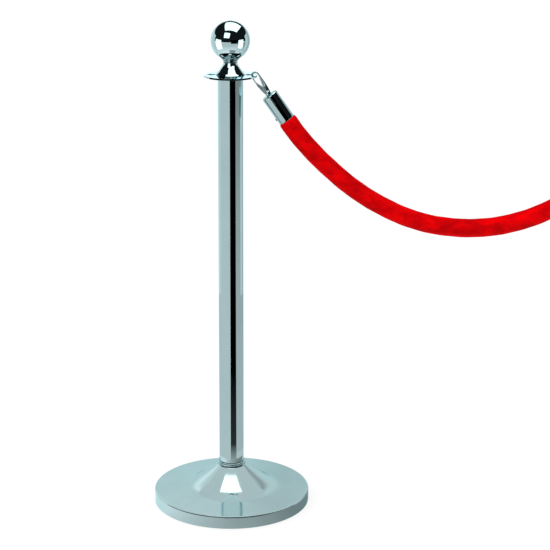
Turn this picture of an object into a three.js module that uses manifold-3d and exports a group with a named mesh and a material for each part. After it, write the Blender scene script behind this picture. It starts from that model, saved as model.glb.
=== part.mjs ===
// Rope barrier stanchion: a weighted base, a tube, a crown plate with four eyes, a ball finial,
// and a padded velvet rope that hangs from the crown on swivelling snap hooks.
// Millimetres, +Z up. The origin is the centre of the base on the floor, and the rope leaves
// along +X, in the plane Y = 0.

import * as THREE from "three";
import { mergeVertices } from "three/addons/utils/BufferGeometryUtils.js";
import Module from "manifold-3d";

const wasm = await Module();
wasm.setup();

// Clearance between pieces that touch.
const GAP = 0.3;

// Post tube
const TUBE_R = 25;
const TUBE_WALL = 1.5;
const TUBE_BOTTOM = 24;

// Base
const BASE_R = 160;
const SHELL = 1.3;
const SKIRT_BOTTOM = 1.0;
const RIM_TOP = 27.2;
const RIM_FILLET = 3.6;
const DOME_SLOPE = 0.1;
const FLARE_SLOPE = 0.64;
const FLARE_FOOT_R = 87;
const FLARE_EASE = 6;
const FLARE_R = 28.5;
const THROAT_RISE = 1.2;
const THROAT_EASE = 7;
const FLOOR_RING_INNER = 128;
const FLOOR_RING_OUTER = 156;
const FLOOR_RING_HEIGHT = 4;
const WEIGHT_R = 157.5;
const WEIGHT_THICKNESS = 18;
const COLLAR_R = 29.4;
const COLLAR_HEIGHT = 7;
const COLLAR_BEAD = 2.2;
const COLLAR_WAIST_R = 28.7;

// Fixing of the tube to the base
const ROD_R = 6;
const PLUG_HEIGHT = 22;
const BOLT_HEAD_R = 10.4;
const BOLT_HEAD_HEIGHT = 7.5;
const WASHER_R = 20;
const WASHER_THICKNESS = 2.5;
const BOLT_RECESS_R = 24;

// Crown plate
const CROWN_R = 52.4;
const CROWN_TOP = 893.2;
const CROWN_THICKNESS = 3.4;
const CROWN_EDGE = 0.5;
const CROWN_TAPER = 0.8;
const EYE_R = 8;
const EYE_CENTRE_R = 37;
const EYES = 4;

// Bell, cup and ball above the crown
const BELL_FOOT_R = 28.3;
const NECK_R = 13.2;
const NECK_Z = 917;
const CUP_R = 18.6;
const BALL_R = 38.4;
const BALL_Z = 960;
const BALL_WALL = 1.6;
const NIB_R = 1.8;
const NIB_HEIGHT = 1.6;
const STUD_R = 5;
const STUD_TOP = 945;
const BOSS_R = 9;

// Rope fittings: the fitting's own Z axis runs along the ferrule and points to the hook.
const CAP_X = 76.4;
const CAP_Z = 852.7;
const FITTING_TILT = THREE.MathUtils.degToRad(-35.2);
const FERRULE_R = 16.6;
const FERRULE_WALL = 1.4;
const FERRULE_TOP = 2;
const FERRULE_BOTTOM = -59.2;
const FERRULE_EDGE = 3.2;
const FERRULE_FACE = 2.6;
const PIVOT_R = 2.6;
const SCREW_DROP = 48;

// Snap hook, in the fitting's frame: x across the hook, z along it
const HOOK_HALF = 2.5;
const HOOK_NECK_R = 5.4;
const HOOK_FOOT = FERRULE_TOP + 0.5;
const BOW_Z = 47;
const BOW_X = -0.7;
const BOW_INNER_R = 5.7;
const BOW_HALF_WIDTH = 8.2;
const BOW_HEIGHT = 9.2;
const GATE_X = -5.7;
const GATE_Z = 21.3;
const GATE_PIN_R = 1.2;
const GATE_EAR_R = 2.8;
const GATE_TOP = 41.2;
const GATE_OUTER_X = -8.9;
const GATE_INNER_X = -6.5;
const CHEEK_INNER_Y = HOOK_HALF + GAP;
const CHEEK_OUTER_Y = 3.4;

// Rope: a cord core in a padded velvet sleeve
const CORE_R = 12.4;
const SLEEVE_R = 18.6;
const SLEEVE_BORE_R = 14.8;
const ROPE_SIDES = 10;
const SLEEVE_STEPS = 22;
const CORE_STEPS = 25;
const CORE_INSET = 12;
const SPAN_MIDDLE_X = 475;

// The rope's centreline between the two ferrules, as [x, z]: it hangs under its own weight.
const ROPE_ROUTE = [
  [110.5, 804.3], [125.5, 783.6], [143, 761.6], [163, 739.4], [186, 716.1], [210, 694.1],
  [233, 674.9], [257, 657.3], [281, 641.8], [305, 628.2], [329, 616.5], [353, 606.7],
  [377, 598.8], [401, 592.8], [426, 588.5], [450, 586.1], [475, 585.3], [500, 586.1],
  [524, 588.5], [549, 592.8], [573, 598.8], [597, 606.7], [621, 616.5], [645, 628.2],
  [669, 641.8], [693, 657.3], [717, 674.9], [740, 694.1], [764, 716.1], [787, 739.4],
  [807, 761.6], [824.5, 783.6], [839.5, 804.3],
];

// Sides of the round pieces
const WIDE = 40;
const FINE = 32;
const MEDIUM = 20;
const SMALL = 12;
const FERRULE_SIDES = 24;

const chrome = () => new THREE.MeshStandardMaterial({ color: 0xb4c8cb, roughness: 0.08, metalness: 1 });
const zincSteel = () => new THREE.MeshStandardMaterial({ color: 0x9aa0a3, roughness: 0.35, metalness: 1 });
const castIron = () => new THREE.MeshStandardMaterial({ color: 0x2b2c2e, roughness: 0.8, metalness: 0.4 });
const rubber = () => new THREE.MeshStandardMaterial({ color: 0x1b1b1c, roughness: 0.85, metalness: 0 });
const velvet = () => new THREE.MeshStandardMaterial({ color: 0xc50005, roughness: 0.9, metalness: 0 });
const cotton = () => new THREE.MeshStandardMaterial({ color: 0xd8d0bd, roughness: 0.95, metalness: 0 });

function named(name, geometry, material) {
  const mesh = new THREE.Mesh(geometry, material);
  mesh.name = name;
  return mesh;
}

// A ring or solid of revolution about Z. A closed profile is a ring; otherwise both ends are on the axis.
function turned(profile, segments) {
  const geometry = new THREE.LatheGeometry(profile.map(([r, z]) => new THREE.Vector2(r, z)), segments);
  geometry.rotateX(Math.PI / 2);
  return outward(geometry);
}

function ring(innerR, outerR, bottom, top, segments) {
  const start = [innerR, bottom];
  return turned([start, [outerR, bottom], [outerR, top], [innerR, top], start], segments);
}

function disc(radius, bottom, top, segments) {
  return turned([[0, bottom], [radius, bottom], [radius, top], [0, top]], segments);
}

// Points of an arc about (cx, cz), from one angle to another in degrees.
function arc(cx, cz, radius, from, to, steps) {
  return Array.from({ length: steps + 1 }, (_, i) => {
    const angle = THREE.MathUtils.degToRad(from + ((to - from) * i) / steps);
    return [cx + radius * Math.cos(angle), cz + radius * Math.sin(angle)];
  });
}

function merged(geometry) {
  const bare = geometry.index ? geometry.toNonIndexed() : geometry.clone();
  bare.deleteAttribute("normal");
  bare.deleteAttribute("uv");
  return mergeVertices(bare, 1e-4);
}

// Drops triangles with no area, and turns the faces outward if the body came inside out.
function outward(geometry) {
  const bare = merged(geometry);
  const position = bare.attributes.position;
  const kept = [];
  let volume = 0;
  const [a, b, c] = [new THREE.Vector3(), new THREE.Vector3(), new THREE.Vector3()];
  for (let i = 0; i < bare.index.count; i += 3) {
    const [ia, ib, ic] = [0, 1, 2].map((k) => bare.index.getX(i + k));
    if (ia !== ib && ib !== ic && ic !== ia) {
      a.fromBufferAttribute(position, ia);
      b.fromBufferAttribute(position, ib);
      c.fromBufferAttribute(position, ic);
      volume += a.dot(b.cross(c));
      kept.push(ia, ib, ic);
    }
  }
  bare.setIndex(volume < 0 ? kept.reverse() : kept);
  return bare;
}

function solid(geometry) {
  const bare = outward(geometry);
  return new wasm.Manifold(new wasm.Mesh({
    numProp: 3,
    vertProperties: new Float32Array(bare.attributes.position.array),
    triVerts: new Uint32Array(bare.index.array),
  }));
}

function geometryOf(manifold) {
  const mesh = manifold.getMesh();
  const geometry = new THREE.BufferGeometry();
  geometry.setAttribute("position", new THREE.BufferAttribute(mesh.vertProperties, 3));
  geometry.setIndex(new THREE.BufferAttribute(mesh.triVerts, 1));
  return geometry;
}

// A cylinder about an axis parallel to Y, through (x, z).
function crossPin(x, z, radius, halfLength, segments) {
  const geometry = new THREE.CylinderGeometry(radius, radius, 2 * halfLength, segments);
  geometry.translate(x, 0, z);
  return geometry;
}

// An outline in the XZ plane, given as [x, z] points or a Shape, with its thickness centred on Y = 0.
function flat(outline, halfThickness, bevel = 0) {
  const drawn = outline instanceof THREE.Shape;
  const shape = drawn ? outline : new THREE.Shape(outline.map(([x, z]) => new THREE.Vector2(x, z)));
  const geometry = new THREE.ExtrudeGeometry(shape, {
    depth: 2 * (halfThickness - bevel),
    bevelEnabled: bevel > 0,
    bevelThickness: bevel,
    bevelSize: bevel,
    bevelOffset: -bevel,
    bevelSegments: 1,
    steps: 1,
    curveSegments: 5,
  });
  geometry.rotateX(Math.PI / 2);
  geometry.translate(0, halfThickness - bevel, 0);
  return geometry;
}

// ---------------------------------------------------------------- base

// Height of the cover at radius r: a shallow cone from the rim, a steeper one inside the flare's
// foot, and a short upturned throat at the tube. The two EASE lengths set how softly they meet.
function domeHeight(r) {
  const bend = FLARE_EASE * Math.log(1 + Math.exp((FLARE_FOOT_R - r) / FLARE_EASE));
  const throat = THROAT_RISE * Math.exp((FLARE_R - r) / THROAT_EASE);
  return RIM_TOP + DOME_SLOPE * (BASE_R - RIM_FILLET - r) + FLARE_SLOPE * bend + throat;
}

// The spun cover: a straight skirt, a rounded rim, a shallow dome and a flare up to the tube.
function baseCover() {
  const radii = [130, 108, 96, 88, 80, 68, 40, FLARE_R];
  const outer = [
    [BASE_R, SKIRT_BOTTOM],
    ...arc(BASE_R - RIM_FILLET, RIM_TOP - RIM_FILLET, RIM_FILLET, 0, 90, 3),
    ...radii.map((r) => [r, domeHeight(r)]),
  ];
  const offset = (r) => {
    const slope = Math.atan(domeHeight(r - 0.5) - domeHeight(r + 0.5));
    return [r - SHELL * Math.sin(slope), domeHeight(r) - SHELL * Math.cos(slope)];
  };
  const inner = [
    ...radii.map(offset).reverse(),
    [BASE_R - RIM_FILLET, RIM_TOP - SHELL],
    [BASE_R - SHELL, RIM_TOP - RIM_FILLET],
    [BASE_R - SHELL, SKIRT_BOTTOM],
  ];
  const top = [FLARE_R, domeHeight(FLARE_R)];
  const lip = [TUBE_R + GAP, top[1]];
  const lipInner = [TUBE_R + GAP, top[1] - SHELL];
  const profile = [...outer, lip, lipInner, ...inner.slice(1), outer[0]];
  return named("base_cover", turned(profile, WIDE), chrome());
}

function floorRing() {
  const profile = [
    [FLOOR_RING_INNER, 0],
    [FLOOR_RING_OUTER, 0],
    [FLOOR_RING_OUTER, FLOOR_RING_HEIGHT - 1],
    [FLOOR_RING_OUTER - 1, FLOOR_RING_HEIGHT],
    [FLOOR_RING_INNER, FLOOR_RING_HEIGHT],
    [FLOOR_RING_INNER, 0],
  ];
  return named("floor_ring", turned(profile, WIDE), rubber());
}

// Roof of the recess in the weight, which the washer and the bolt's head fill.
function recessTop() {
  return FLOOR_RING_HEIGHT + GAP + BOLT_HEAD_HEIGHT + WASHER_THICKNESS;
}

// The cast weight: a disc with a hub under the tube, bored for the tie bolt and recessed for its head.
function baseWeight() {
  const bottom = FLOOR_RING_HEIGHT + GAP;
  const top = bottom + WEIGHT_THICKNESS;
  const hubTop = TUBE_BOTTOM - GAP;
  const profile = [
    [BOLT_RECESS_R, bottom],
    [WEIGHT_R - 2, bottom],
    [WEIGHT_R, bottom + 2],
    [WEIGHT_R, top - 3],
    [WEIGHT_R - 3, top],
    [TUBE_R + 12, top],
    [TUBE_R + 10, hubTop],
    [ROD_R + GAP, hubTop],
    [ROD_R + GAP, recessTop()],
    [BOLT_RECESS_R, recessTop()],
    [BOLT_RECESS_R, bottom],
  ];
  return named("base_weight", turned(profile, FINE), castIron());
}

function baseWasher() {
  const top = recessTop() - GAP;
  return named("base_washer", ring(ROD_R + GAP, WASHER_R, top - WASHER_THICKNESS, top, MEDIUM), zincSteel());
}

// A hexagon-head bolt from below, through the weight into the tube's lower plug.
function tieBolt() {
  const headTop = recessTop() - WASHER_THICKNESS - 2 * GAP;
  const head = disc(BOLT_HEAD_R, headTop - BOLT_HEAD_HEIGHT + 1, headTop, 6);
  const shank = disc(ROD_R, headTop - 1, TUBE_BOTTOM + PLUG_HEIGHT - 6, SMALL);
  return named("tie_bolt", geometryOf(solid(head).add(solid(shank))), zincSteel());
}

function bottomPlug() {
  const top = TUBE_BOTTOM + PLUG_HEIGHT;
  const outerR = TUBE_R - TUBE_WALL - GAP;
  return named("bottom_plug", ring(ROD_R + GAP, outerR, TUBE_BOTTOM, top, MEDIUM), zincSteel());
}

// A spool that closes the joint between the flare and the tube: a bead above and below a plain waist.
function footCollar() {
  const bottom = domeHeight(FLARE_R) + GAP;
  const top = bottom + COLLAR_HEIGHT;
  const innerR = TUBE_R + GAP;
  const profile = [
    [innerR, bottom],
    [COLLAR_R - 0.7, bottom],
    [COLLAR_R, bottom + 0.6],
    [COLLAR_R, bottom + COLLAR_BEAD - 0.6],
    [COLLAR_WAIST_R, bottom + COLLAR_BEAD],
    [COLLAR_WAIST_R, top - COLLAR_BEAD],
    [COLLAR_R, top - COLLAR_BEAD + 0.6],
    [COLLAR_R, top - 0.6],
    [COLLAR_R - 0.7, top],
    [innerR, top],
    [innerR, bottom],
  ];
  return named("foot_collar", turned(profile, FINE), chrome());
}

// ---------------------------------------------------------------- post and head

function postTube() {
  const top = CROWN_TOP - CROWN_THICKNESS - GAP;
  return named("post_tube", ring(TUBE_R - TUBE_WALL, TUBE_R, TUBE_BOTTOM, top, FINE), chrome());
}

function topPlug() {
  const top = CROWN_TOP - CROWN_THICKNESS - GAP;
  const outerR = TUBE_R - TUBE_WALL - GAP;
  return named("top_plug", ring(STUD_R + GAP, outerR, top - PLUG_HEIGHT, top, MEDIUM), zincSteel());
}

// The crown: a round plate with an eye for a hook on each of four sides.
function crownPlate() {
  const bottom = CROWN_TOP - CROWN_THICKNESS;
  const profile = [
    [STUD_R + GAP, bottom],
    [CROWN_R - CROWN_EDGE, bottom],
    [CROWN_R, bottom + CROWN_EDGE],
    [CROWN_R - CROWN_TAPER, CROWN_TOP - CROWN_EDGE],
    [CROWN_R - CROWN_TAPER - CROWN_EDGE, CROWN_TOP],
    [STUD_R + GAP, CROWN_TOP],
    [STUD_R + GAP, bottom],
  ];
  let plate = solid(turned(profile, WIDE));
  for (let i = 0; i < EYES; i += 1) {
    const angle = (2 * Math.PI * i) / EYES;
    const eye = disc(EYE_R, bottom - 2, CROWN_TOP + 2, MEDIUM);
    eye.translate(EYE_CENTRE_R * Math.cos(angle), EYE_CENTRE_R * Math.sin(angle), 0);
    plate = plate.subtract(solid(eye));
  }
  return named("crown_plate", geometryOf(plate), chrome());
}

// The bell between the crown and the neck: a spun shell, wide at its foot.
function bell() {
  const foot = CROWN_TOP + GAP;
  const outer = [
    [BELL_FOOT_R, foot],
    [BELL_FOOT_R, foot + 0.8],
    [25.5, 897.4],
    [21.6, 902.6],
    [18, 907.6],
    [15.2, 912.2],
    [NECK_R, NECK_Z],
  ];
  const bore = STUD_R + GAP;
  const profile = [
    ...outer,
    [bore, NECK_Z],
    [bore, NECK_Z - 4],
    [12.4, 912],
    [17.6, 905],
    [22.6, 898.6],
    [26.2, foot],
    outer[0],
  ];
  return named("bell", turned(profile, FINE), chrome());
}

// The cup that the ball sits in: a waisted collar with a hollow top.
function ballCup() {
  const bottom = NECK_Z + GAP;
  const bore = STUD_R + GAP;
  const seatR = BALL_R + GAP;
  const seat = (r) => [r, BALL_Z - Math.sqrt(seatR ** 2 - r ** 2)];
  const profile = [
    [bore, bottom],
    [NECK_R, bottom],
    [NECK_R + 0.4, bottom + 2.4],
    [15.2, bottom + 5.2],
    [17.6, bottom + 7.2],
    [CUP_R, bottom + 8.4],
    seat(CUP_R),
    seat(15),
    seat(11),
    seat(bore),
    [bore, bottom],
  ];
  return named("ball_cup", turned(profile, FINE), chrome());
}

// The hollow finial ball, open below for its boss, with the small nib left on top by spinning.
function finialBall() {
  const openR = BOSS_R + GAP;
  const openAngle = -THREE.MathUtils.radToDeg(Math.acos(openR / BALL_R));
  const innerR = BALL_R - BALL_WALL;
  const innerAngle = -THREE.MathUtils.radToDeg(Math.acos(openR / innerR));
  const nibAngle = THREE.MathUtils.radToDeg(Math.acos(NIB_R / BALL_R));
  const profile = [
    [0, BALL_Z + BALL_R + NIB_HEIGHT],
    [NIB_R * 0.7, BALL_Z + BALL_R + NIB_HEIGHT * 0.75],
    ...arc(0, BALL_Z, BALL_R, nibAngle, openAngle, 12),
    ...arc(0, BALL_Z, innerR, innerAngle, 90, 6),
  ];
  profile[profile.length - 1][0] = 0;
  return named("finial_ball", turned(profile, FINE), chrome());
}

// The threaded boss welded into the ball's opening.
function ballBoss() {
  const bottom = BALL_Z - Math.sqrt(BALL_R ** 2 - BOSS_R ** 2) + GAP;
  return named("ball_boss", ring(STUD_R + GAP, BOSS_R, bottom, STUD_TOP + 4, MEDIUM), zincSteel());
}

// The stud that clamps the ball, cup, bell and crown to the tube's upper plug.
function headStud() {
  const bottom = CROWN_TOP - CROWN_THICKNESS - PLUG_HEIGHT + 2;
  const profile = [
    [0, bottom],
    [STUD_R - 1, bottom],
    [STUD_R, bottom + 1],
    [STUD_R, STUD_TOP - 1],
    [STUD_R - 1, STUD_TOP],
    [0, STUD_TOP],
  ];
  return named("head_stud", turned(profile, SMALL), zincSteel());
}

// ---------------------------------------------------------------- rope fittings

// The cup on the rope's end, with a rounded face bored for the swivel and a tapped hole at the side.
function ferrule(prefix) {
  const innerR = FERRULE_R - FERRULE_WALL;
  const bore = PIVOT_R + GAP;
  const profile = [
    [bore, FERRULE_TOP],
    [8, FERRULE_TOP - 0.2],
    ...arc(FERRULE_R - FERRULE_EDGE, FERRULE_TOP - FERRULE_EDGE - 0.7, FERRULE_EDGE, 80, 0, 4),
    [FERRULE_R, FERRULE_BOTTOM],
    [innerR, FERRULE_BOTTOM],
    [innerR, FERRULE_TOP - FERRULE_FACE - 1.5],
    [innerR - 1.5, FERRULE_TOP - FERRULE_FACE],
    [bore, FERRULE_TOP - FERRULE_FACE],
    [bore, FERRULE_TOP],
  ];
  const hole = new THREE.CylinderGeometry(2.3, 2.3, 8, SMALL);
  hole.rotateZ(Math.PI / 2);
  hole.translate(-FERRULE_R, 0, -SCREW_DROP);
  const cup = solid(turned(profile, FERRULE_SIDES)).subtract(solid(hole));
  return named(`${prefix}_ferrule`, geometryOf(cup), chrome());
}

// The screw that pins the rope's core in the ferrule, with a low domed head outside.
function setScrew(prefix) {
  const tip = CORE_R + 0.5;
  const profile = [
    [0, tip],
    [1.5, tip],
    [2, tip + 0.5],
    [2, FERRULE_R + GAP],
    [2.7, FERRULE_R + GAP],
    [2.5, FERRULE_R + 1.3],
    [1.5, FERRULE_R + 1.9],
    [0, FERRULE_R + 2.1],
  ];
  const geometry = turned(profile, SMALL);
  geometry.rotateY(-Math.PI / 2);
  geometry.translate(0, 0, -SCREW_DROP);
  return named(`${prefix}_set_screw`, geometry, zincSteel());
}

function swivelWasher(prefix) {
  const top = FERRULE_TOP - FERRULE_FACE - GAP;
  return named(`${prefix}_swivel_washer`, ring(PIVOT_R + GAP, 9, top - 1, top, MEDIUM), zincSteel());
}

// The headed pivot that turns in the ferrule's face and is riveted into the hook.
function swivelPivot(prefix) {
  const headTop = FERRULE_TOP - FERRULE_FACE - 1 - 2 * GAP;
  const profile = [
    [0, headTop - 3],
    [5.4, headTop - 3],
    [6.4, headTop - 2],
    [6.4, headTop],
    [PIVOT_R, headTop],
    [PIVOT_R, 7],
    [0, 7],
  ];
  return named(`${prefix}_swivel_pivot`, turned(profile, SMALL), zincSteel());
}

// ---------------------------------------------------------------- snap hook

// The cast hook: boss, shoulder, spine, bow and nose in one flat outline.
function hookOutline() {
  const shape = new THREE.Shape();
  shape.moveTo(-HOOK_NECK_R, HOOK_FOOT);
  shape.lineTo(HOOK_NECK_R, HOOK_FOOT);
  shape.lineTo(HOOK_NECK_R + 0.4, 6);
  shape.bezierCurveTo(6.4, 9, 7.5, 17, 7.7, 26);
  shape.bezierCurveTo(7.9, 33, BOW_X + BOW_HALF_WIDTH, 40, BOW_X + BOW_HALF_WIDTH, BOW_Z);
  shape.absellipse(BOW_X, BOW_Z, BOW_HALF_WIDTH, BOW_HEIGHT, 0, Math.PI, false, 0);
  shape.lineTo(GATE_OUTER_X, GATE_TOP + GAP);
  shape.lineTo(BOW_X - BOW_INNER_R, GATE_TOP + GAP);
  shape.lineTo(BOW_X - BOW_INNER_R, BOW_Z);
  shape.absarc(BOW_X, BOW_Z, BOW_INNER_R, Math.PI, 0, true);
  shape.bezierCurveTo(BOW_X + BOW_INNER_R, 43, 2.6, 37, 1.2, 30);
  shape.bezierCurveTo(0.6, 27, -0.6, 24, -2.7, 22.4);
  shape.absarc(GATE_X, GATE_Z, GATE_EAR_R, 0.4, Math.PI, false);
  shape.bezierCurveTo(-8.4, 17, -7.2, 11, -HOOK_NECK_R - 0.4, 6);
  shape.lineTo(-HOOK_NECK_R, HOOK_FOOT);
  return shape;
}

function hookBody(prefix) {
  const pinBore = crossPin(GATE_X, GATE_Z, GATE_PIN_R + GAP, HOOK_HALF + 1, SMALL);
  const pivotBore = disc(PIVOT_R + GAP, -1, 7 + GAP, SMALL);
  const neckProfile = [
    [0, HOOK_FOOT],
    [HOOK_NECK_R, HOOK_FOOT],
    [HOOK_NECK_R + 0.3, 6],
    [4.2, 9.4],
    [0, 10.4],
  ];
  const neck = turned(neckProfile, SMALL);
  const body = solid(flat(hookOutline(), HOOK_HALF, 0.7)).add(solid(neck));
  const bored = body.subtract(solid(pinBore)).subtract(solid(pivotBore));
  return named(`${prefix}_hook_body`, geometryOf(bored), chrome());
}

// The sprung gate: a leaf that closes the hook's mouth, with two cheeks on the pin.
function gate(prefix) {
  const leafBottom = GATE_Z + GATE_EAR_R + 2 * GAP;
  const leaf = flat([
    [GATE_OUTER_X, leafBottom],
    [GATE_INNER_X, leafBottom],
    [GATE_INNER_X, GATE_TOP],
    [GATE_OUTER_X + 0.8, GATE_TOP],
    [GATE_OUTER_X, GATE_TOP - 0.8],
  ], CHEEK_OUTER_Y);
  const cheekThickness = (CHEEK_OUTER_Y - CHEEK_INNER_Y) / 2;
  let whole = solid(leaf);
  for (const side of [-1, 1]) {
    const cheek = flat([
      ...arc(GATE_X, GATE_Z, GATE_EAR_R + 0.4, 180, 380, 12),
      [GATE_INNER_X + 0.8, 29],
      [GATE_INNER_X - 0.2, 32],
      [GATE_OUTER_X, 32],
    ], cheekThickness);
    cheek.translate(0, side * (CHEEK_INNER_Y + cheekThickness), 0);
    whole = whole.add(solid(cheek));
  }
  const bore = crossPin(GATE_X, GATE_Z, GATE_PIN_R + GAP, CHEEK_OUTER_Y + 1, SMALL);
  return named(`${prefix}_gate`, geometryOf(whole.subtract(solid(bore))), chrome());
}

// The rivet that the gate turns on, headed outside both cheeks.
function gateRivet(prefix) {
  const headR = GATE_PIN_R + 0.9;
  const headInner = CHEEK_OUTER_Y + GAP;
  const profile = [
    [0, -headInner - 0.8],
    [headR - 0.6, -headInner - 0.7],
    [headR, -headInner],
    [GATE_PIN_R, -headInner],
    [GATE_PIN_R, headInner],
    [headR, headInner],
    [headR - 0.6, headInner + 0.7],
    [0, headInner + 0.8],
  ];
  const geometry = turned(profile, SMALL);
  geometry.rotateX(Math.PI / 2);
  geometry.translate(GATE_X, 0, GATE_Z);
  return named(`${prefix}_gate_rivet`, geometry, zincSteel());
}

// The leaf spring that holds the gate shut: rooted above the shoulder, bowed to the gate's back.
function gateSpring(prefix) {
  const thickness = 0.5;
  const centre = new THREE.QuadraticBezierCurve(
    new THREE.Vector2(-2.6, 24.0),
    new THREE.Vector2(-4.0, 27.0),
    new THREE.Vector2(GATE_INNER_X + GAP + thickness / 2, 34),
  );
  const points = centre.getPoints(6);
  const side = (sign) => points.map((point, i) => {
    const tangent = centre.getTangent(i / (points.length - 1));
    const half = (sign * thickness) / 2;
    return [point.x - tangent.y * half, point.y + tangent.x * half];
  });
  return named(`${prefix}_gate_spring`, flat([...side(1), ...side(-1).reverse()], 1.4), zincSteel());
}

// One end of the rope. The far one is the near one turned half round the middle of the span.
function ropeFitting(prefix) {
  const fitting = new THREE.Group();
  fitting.add(
    ferrule(prefix),
    setScrew(prefix),
    swivelWasher(prefix),
    swivelPivot(prefix),
    hookBody(prefix),
    gate(prefix),
    gateRivet(prefix),
    gateSpring(prefix),
  );
  fitting.position.set(CAP_X, 0, CAP_Z);
  fitting.rotation.y = FITTING_TILT;
  return fitting;
}

// ---------------------------------------------------------------- rope

function roundSection(radius) {
  const points = Array.from({ length: ROPE_SIDES }, (_, i) => {
    const angle = (2 * Math.PI * (i + 0.5)) / ROPE_SIDES;
    return new THREE.Vector2(radius * Math.cos(angle), radius * Math.sin(angle));
  });
  return new THREE.Shape(points);
}

function velvetSleeve() {
  const start = ROPE_ROUTE[0];
  const axis = new THREE.Vector3(-Math.sin(FITTING_TILT), 0, -Math.cos(FITTING_TILT));
  const points = ROPE_ROUTE.map(([x, z]) => new THREE.Vector3(x, 0, z));
  points[0].set(start[0] + GAP * axis.x, 0, start[1] + GAP * axis.z);
  points[points.length - 1].set(2 * SPAN_MIDDLE_X - points[0].x, 0, points[0].z);
  const section = roundSection(SLEEVE_R);
  section.holes.push(new THREE.Path(roundSection(SLEEVE_BORE_R).getPoints()));
  const geometry = new THREE.ExtrudeGeometry(section, {
    steps: SLEEVE_STEPS,
    extrudePath: new THREE.CatmullRomCurve3(points, false, "centripetal"),
  });
  return named("velvet_sleeve", outward(geometry), velvet());
}

// The cord inside the sleeve runs on into both ferrules.
function ropeCore() {
  const x = CAP_X - CORE_INSET * Math.sin(FITTING_TILT);
  const z = CAP_Z - CORE_INSET * Math.cos(FITTING_TILT);
  const ends = [x, 2 * SPAN_MIDDLE_X - x].map((endX) => new THREE.Vector3(endX, 0, z));
  const middle = ROPE_ROUTE.map(([px, pz]) => new THREE.Vector3(px, 0, pz));
  const geometry = new THREE.ExtrudeGeometry(roundSection(CORE_R), {
    steps: CORE_STEPS,
    extrudePath: new THREE.CatmullRomCurve3([ends[0], ...middle, ends[1]], false, "centripetal"),
  });
  return named("rope_core", outward(geometry), cotton());
}

// ---------------------------------------------------------------- assembly

const nearFitting = ropeFitting("near");
const farFitting = new THREE.Group();
farFitting.add(ropeFitting("far"));
farFitting.rotation.z = Math.PI;
farFitting.position.x = 2 * SPAN_MIDDLE_X;

const post = new THREE.Group();
post.add(
  floorRing(),
  baseWeight(),
  baseWasher(),
  tieBolt(),
  baseCover(),
  footCollar(),
  bottomPlug(),
  postTube(),
  topPlug(),
  crownPlate(),
  bell(),
  ballCup(),
  finialBall(),
  ballBoss(),
  headStud(),
);

const group = new THREE.Group();
group.add(post, nearFitting, farFitting, velvetSleeve(), ropeCore());

export default group;
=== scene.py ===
"""Looks for a rope barrier stanchion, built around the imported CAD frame.

Places are in metres, with +Z up, the camera towards -Y and the rope along +X. The profiles of the post
and of the fittings are in millimetres, as in the CAD, and scaled() turns them into metres.
"""

import math

import bmesh
import bpy
import numpy as np
from mathutils import Matrix, Vector


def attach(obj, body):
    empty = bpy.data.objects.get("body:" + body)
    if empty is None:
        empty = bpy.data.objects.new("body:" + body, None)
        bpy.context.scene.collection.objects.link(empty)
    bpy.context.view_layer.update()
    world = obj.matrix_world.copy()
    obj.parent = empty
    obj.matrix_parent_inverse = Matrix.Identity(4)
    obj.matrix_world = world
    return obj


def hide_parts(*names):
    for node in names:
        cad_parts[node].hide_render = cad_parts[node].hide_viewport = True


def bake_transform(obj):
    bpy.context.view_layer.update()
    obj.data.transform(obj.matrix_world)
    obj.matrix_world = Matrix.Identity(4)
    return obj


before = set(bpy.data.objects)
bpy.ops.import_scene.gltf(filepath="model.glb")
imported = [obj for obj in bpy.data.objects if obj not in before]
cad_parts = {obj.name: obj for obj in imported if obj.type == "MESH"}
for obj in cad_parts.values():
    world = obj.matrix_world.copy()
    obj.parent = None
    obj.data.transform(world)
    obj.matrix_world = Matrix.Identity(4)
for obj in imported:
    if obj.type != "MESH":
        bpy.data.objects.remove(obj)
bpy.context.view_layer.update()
MM = 0.001


def add_object(name, data):
    obj = bpy.data.objects.new(name, data)
    bpy.context.scene.collection.objects.link(obj)
    return obj


# ------------------------------------------------------------------ camera

CAMERA_PLACE = Vector((0.0887, -3.4428, 1.4798))
CAMERA_DOWN = math.radians(16.104)
CAMERA_ROLL = math.radians(0.225)
CAMERA_LENS, CAMERA_SENSOR = 116.19, 36


def make_camera():
    data = bpy.data.cameras.new("camera")
    data.lens = CAMERA_LENS
    data.sensor_width = CAMERA_SENSOR
    camera = add_object("camera", data)
    tilt = Matrix.Rotation(math.pi / 2 - CAMERA_DOWN, 4, "X")
    roll = Matrix.Rotation(CAMERA_ROLL, 4, "Z")
    camera.matrix_world = Matrix.Translation(CAMERA_PLACE) @ tilt @ roll
    bpy.context.scene.camera = camera


# ------------------------------------------------------------------ meshes

def smooth(mesh, sharp_degrees=38):
    mesh.polygons.foreach_set("use_smooth", [True] * len(mesh.polygons))
    mesh.set_sharp_from_angle(angle=math.radians(sharp_degrees))
    mesh.update()


def arc(cx, cz, radius, start, end, steps):
    """Points of an arc about (cx, cz) between two angles in degrees."""
    angles = [math.radians(start + (end - start) * i / steps) for i in range(steps + 1)]
    return [(cx + radius * math.cos(a), cz + radius * math.sin(a)) for a in angles]


def eased(points, radius, steps=4):
    """A closed outline with its corners rounded. A point beside each rounding keeps the flats flat."""
    beside = 1.25
    result = []
    for i, point in enumerate(points):
        here = Vector(point)
        into = Vector(points[i - 1]) - here
        out = Vector(points[(i + 1) % len(points)]) - here
        cut = min(radius / math.tan(into.angle(out) / 2), 0.4 * into.length, 0.4 * out.length)
        a, b = here + into.normalized() * cut, here + out.normalized() * cut
        result.append(tuple(here + into.normalized() * cut * beside))
        for k in range(steps + 1):
            t = k / steps
            result.append(tuple((1 - t) ** 2 * a + 2 * t * (1 - t) * here + t * t * b))
        result.append(tuple(here + out.normalized() * cut * beside))
    return result


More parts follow.
